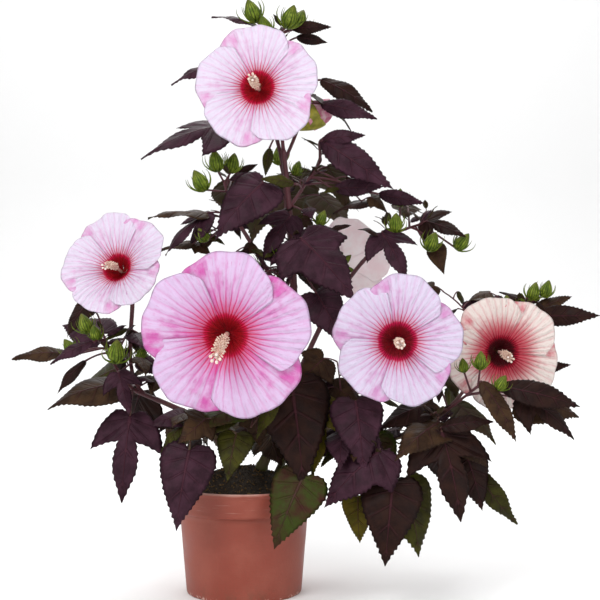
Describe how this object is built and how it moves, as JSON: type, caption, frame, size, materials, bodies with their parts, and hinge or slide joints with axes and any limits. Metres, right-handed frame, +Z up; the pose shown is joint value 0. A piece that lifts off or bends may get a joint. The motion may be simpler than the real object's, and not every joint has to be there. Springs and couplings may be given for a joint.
{
  "type": "potted hibiscus shrub",
  "caption": "Dark-leaved garden hibiscus in flower in a round plastic nursery pot: stems and boughs rising from the compost, masses of leaves and buds, and wide saucer-shaped blooms.",
  "frame": {"origin": "centre of the pot's flat underside, on the floor", "axes": "+Z up, -Y towards the front of the shrub, +X to its right"},
  "size_m": [0.7351, 0.4301, 0.751],
  "materials": {
    "pot": "moulded terracotta-coloured plastic, satin, lightly scuffed",
    "soil": "loose dark peat compost, matt",
    "stem": "smooth burgundy bark, olive green at the base",
    "foliage": "dark aubergine leaf, faint sheen",
    "bloom": "thin silky petal, pale lilac pink"
  },
  "bodies": {
    "root": {"pot": "pot", "soil": "soil", "main_stem": "stem", "low_left_stem": "stem", "low_right_stem": "stem", "back_left_stem": "stem", "back_right_stem": "stem", "upper_left_bough": "stem", "upper_right_bough": "stem", "right_bough": "stem", "front_bough": "stem", "back_bough": "stem", "bloom_top": "bloom", "bloom_left": "bloom", "bloom_front": "bloom", "bloom_right": "bloom", "bloom_far_right": "bloom", "bloom_back": "bloom", "bloom_rear_left": "bloom", "bloom_rear_right": "bloom", "bloom_spent": "bloom", "top_leaves": "foliage", "upper_left_leaves": "foliage", "upper_right_leaves": "foliage", "right_middle_leaves": "foliage", "centre_leaves": "foliage", "left_leaves": "foliage", "low_left_leaves": "foliage", "front_leaves": "foliage", "low_right_leaves": "foliage", "right_leaves": "foliage", "far_right_leaves": "foliage", "far_right_upper_leaves": "foliage", "back_left_leaves": "foliage", "back_right_leaves": "foliage", "back_upper_leaves": "foliage", "back_middle_leaves": "foliage", "back_low_leaves": "foliage", "back_low_left_leaves": "foliage"}
  },
  "joints": []
}
